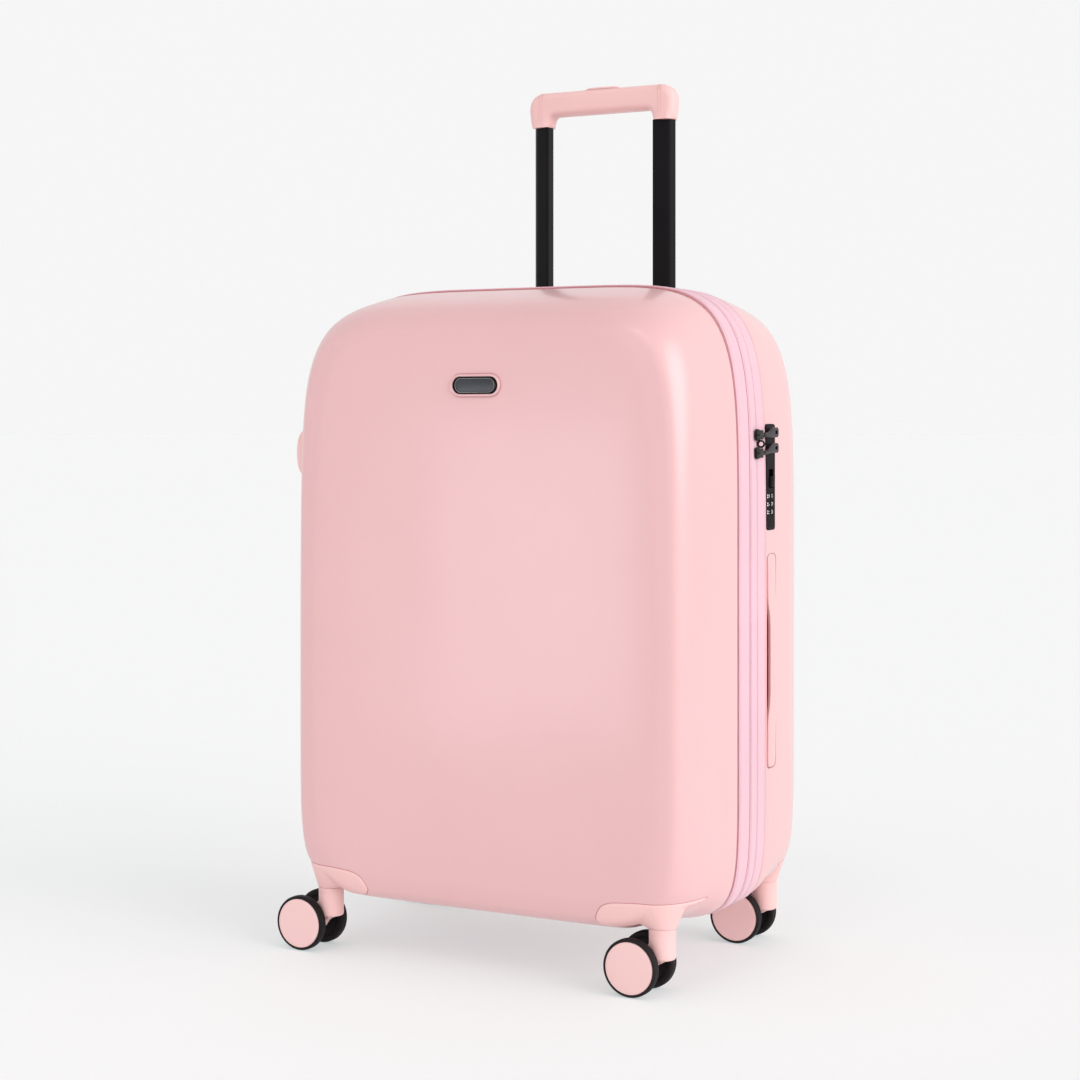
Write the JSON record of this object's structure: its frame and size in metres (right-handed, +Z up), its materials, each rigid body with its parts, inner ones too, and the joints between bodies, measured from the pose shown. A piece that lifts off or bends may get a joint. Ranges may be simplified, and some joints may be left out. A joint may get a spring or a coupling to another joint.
{
  "type": "hard shell suitcase on wheels",
  "caption": "Upright hard shell suitcase that opens like a book, with a telescopic handle, zip lock, carry handles and twin-wheel swivel casters.",
  "frame": {"origin": "on the ground under the middle of the four swivel lines", "axes": "+X to the lock side, -Y to the front of the case, +Z up"},
  "size_m": [0.4846, 0.3036, 0.9074],
  "materials": {
    "shell": "soft pink glossy polycarbonate",
    "trim": "pink satin moulding",
    "cap": "pink satin disc",
    "band": "pink woven zip tape",
    "lining": "grey woven lining",
    "tube": "black anodised",
    "steel": "drawn",
    "tyre": "matt black",
    "lock": "dark grey satin",
    "dial": "dark dials",
    "badge": "dark grey plate, blank"
  },
  "bodies": {
    "rear_half": {"rear_shell": "shell", "rear_band": "band", "rear_lining": "lining", "handle_housing": "trim", "outer_tube_left": "steel", "outer_tube_right": "steel", "lock_case": "lock", "hinge_spine": "band", "rear_foot": "trim", "tube_foot": "steel", "caster_housing_rear_left": "trim", "caster_housing_rear_right": "trim"},
    "front_half": {"front_shell": "shell", "front_band": "band", "front_lining": "lining", "badge_plate": "badge", "front_foot": "trim", "caster_housing_front_left": "trim", "caster_housing_front_right": "trim"},
    "handle_lower": {"middle_tube_left": "tube", "middle_tube_right": "tube"},
    "handle_upper": {"inner_tube_left": "tube", "inner_tube_right": "tube", "grip": "trim"},
    "handle_button": {"grip_button": "trim"},
    "side_carry": {"side_carry_handle": "trim"},
    "top_carry": {"top_carry_handle": "trim"},
    "dial_1": {"lock_dial_1": "dial"},
    "dial_2": {"lock_dial_2": "dial"},
    "dial_3": {"lock_dial_3": "dial"},
    "catch": {"lock_catch": "lock"},
    "slider_upper": {"zip_slider_upper": "lock"},
    "slider_lower": {"zip_slider_lower": "lock"},
    "pull_tab_upper": {"puller_upper": "lock"},
    "pull_tab_lower": {"puller_lower": "lock"},
    "swivel_front_left": {"fork_front_left": "trim", "axle_front_left": "steel"},
    "wheels_front_left_front": {"wheel_front_left_front": "tyre", "cap_front_left_front": "cap"},
    "wheels_front_left_back": {"wheel_front_left_back": "tyre", "cap_front_left_back": "cap"},
    "swivel_front_right": {"fork_front_right": "trim", "axle_front_right": "steel"},
    "wheels_front_right_front": {"wheel_front_right_front": "tyre", "cap_front_right_front": "cap"},
    "wheels_front_right_back": {"wheel_front_right_back": "tyre", "cap_front_right_back": "cap"},
    "swivel_rear_left": {"fork_rear_left": "trim", "axle_rear_left": "steel"},
    "wheels_rear_left_front": {"wheel_rear_left_front": "tyre", "cap_rear_left_front": "cap"},
    "wheels_rear_left_back": {"wheel_rear_left_back": "tyre", "cap_rear_left_back": "cap"},
    "swivel_rear_right": {"fork_rear_right": "trim", "axle_rear_right": "steel"},
    "wheels_rear_right_front": {"wheel_rear_right_front": "tyre", "cap_rear_right_front": "cap"},
    "wheels_rear_right_back": {"wheel_rear_right_back": "tyre", "cap_rear_right_back": "cap"}
  },
  "joints": [
    {"name": "case_hinge", "type": "hinge", "parent": "rear_half", "child": "front_half", "pos_m": [-0.2425, 0.0013, 0.375], "axis": [0, 0, -1], "range_deg": [0, 180]},
    {"name": "handle_lower_slide", "type": "slide", "parent": "rear_half", "child": "handle_lower", "axis": [0, 0, 1], "range_m": [0, 0.14]},
    {"name": "handle_upper_slide", "type": "slide", "parent": "handle_lower", "child": "handle_upper", "axis": [0, 0, 1], "range_m": [-0.213, 0]},
    {"name": "grip_button_press", "type": "slide", "parent": "handle_upper", "child": "handle_button", "axis": [0, 0, -1], "range_m": [0, 0.003], "stiffness_N_per_m": 600, "springref_m": -0.001},
    {"name": "side_carry_pull", "type": "slide", "parent": "rear_half", "child": "side_carry", "axis": [1, 0, 0], "range_m": [0, 0.01], "stiffness_N_per_m": 300, "springref_m": -0.003},
    {"name": "top_carry_pull", "type": "slide", "parent": "rear_half", "child": "top_carry", "axis": [0, 0, 1], "range_m": [0, 0.01], "stiffness_N_per_m": 300, "springref_m": -0.003},
    {"name": "lock_catch_slide", "type": "slide", "parent": "rear_half", "child": "catch", "axis": [0, 0, 1], "range_m": [0, 0.006], "stiffness_N_per_m": 200, "springref_m": -0.002},
    {"name": "zip_slider_upper_slide", "type": "slide", "parent": "rear_half", "child": "slider_upper", "axis": [0, 0, 1], "range_m": [0, 0.03]},
    {"name": "zip_slider_lower_slide", "type": "slide", "parent": "rear_half", "child": "slider_lower", "axis": [0, 0, -1], "range_m": [0, 0.3]},
    {"name": "lock_dial_1_spin", "type": "hinge", "parent": "rear_half", "child": "dial_1", "pos_m": [0.2265, 0.0355, 0.4534], "axis": [0, 0, 1], "continuous": true},
    {"name": "lock_dial_2_spin", "type": "hinge", "parent": "rear_half", "child": "dial_2", "pos_m": [0.2265, 0.0355, 0.4614], "axis": [0, 0, 1], "continuous": true},
    {"name": "lock_dial_3_spin", "type": "hinge", "parent": "rear_half", "child": "dial_3", "pos_m": [0.2265, 0.0355, 0.4694], "axis": [0, 0, 1], "continuous": true},
    {"name": "puller_upper_hinge", "type": "hinge", "parent": "slider_upper", "child": "pull_tab_upper", "pos_m": [0.2377, 0.011, 0.531], "axis": [0, 0, -1], "range_deg": [0, 110]},
    {"name": "puller_lower_hinge", "type": "hinge", "parent": "slider_lower", "child": "pull_tab_lower", "pos_m": [0.2377, 0.011, 0.513], "axis": [0, 0, -1], "range_deg": [0, 110]},
    {"name": "swivel_front_left_turn", "type": "hinge", "parent": "front_half", "child": "swivel_front_left", "pos_m": [-0.1897, -0.1219, 0.0643], "axis": [0, 0, 1], "continuous": true},
    {"name": "wheel_front_left_front_roll", "type": "hinge", "parent": "swivel_front_left", "child": "wheels_front_left_front", "pos_m": [-0.2135, -0.1413, 0.02784], "axis": [0, 1, 0], "continuous": true},
    {"name": "wheel_front_left_back_roll", "type": "hinge", "parent": "swivel_front_left", "child": "wheels_front_left_back", "pos_m": [-0.2135, -0.1025, 0.02784], "axis": [0, 1, 0], "continuous": true},
    {"name": "swivel_front_right_turn", "type": "hinge", "parent": "front_half", "child": "swivel_front_right", "pos_m": [0.1897, -0.1219, 0.0643], "axis": [0, 0, 1], "continuous": true},
    {"name": "wheel_front_right_front_roll", "type": "hinge", "parent": "swivel_front_right", "child": "wheels_front_right_front", "pos_m": [0.1659, -0.1413, 0.02784], "axis": [0, 1, 0], "continuous": true},
    {"name": "wheel_front_right_back_roll", "type": "hinge", "parent": "swivel_front_right", "child": "wheels_front_right_back", "pos_m": [0.1659, -0.1025, 0.02784], "axis": [0, 1, 0], "continuous": true},
    {"name": "swivel_rear_left_turn", "type": "hinge", "parent": "rear_half", "child": "swivel_rear_left", "pos_m": [-0.1897, 0.1219, 0.0643], "axis": [0, 0, 1], "continuous": true},
    {"name": "wheel_rear_left_front_roll", "type": "hinge", "parent": "swivel_rear_left", "child": "wheels_rear_left_front", "pos_m": [-0.2135, 0.1025, 0.02784], "axis": [0, 1, 0], "continuous": true},
    {"name": "wheel_rear_left_back_roll", "type": "hinge", "parent": "swivel_rear_left", "child": "wheels_rear_left_back", "pos_m": [-0.2135, 0.1413, 0.02784], "axis": [0, 1, 0], "continuous": true},
    {"name": "swivel_rear_right_turn", "type": "hinge", "parent": "rear_half", "child": "swivel_rear_right", "pos_m": [0.1897, 0.1219, 0.0643], "axis": [0, 0, 1], "continuous": true},
    {"name": "wheel_rear_right_front_roll", "type": "hinge", "parent": "swivel_rear_right", "child": "wheels_rear_right_front", "pos_m": [0.1659, 0.1025, 0.02784], "axis": [0, 1, 0], "continuous": true},
    {"name": "wheel_rear_right_back_roll", "type": "hinge", "parent": "swivel_rear_right", "child": "wheels_rear_right_back", "pos_m": [0.1659, 0.1413, 0.02784], "axis": [0, 1, 0], "continuous": true}
  ]
}
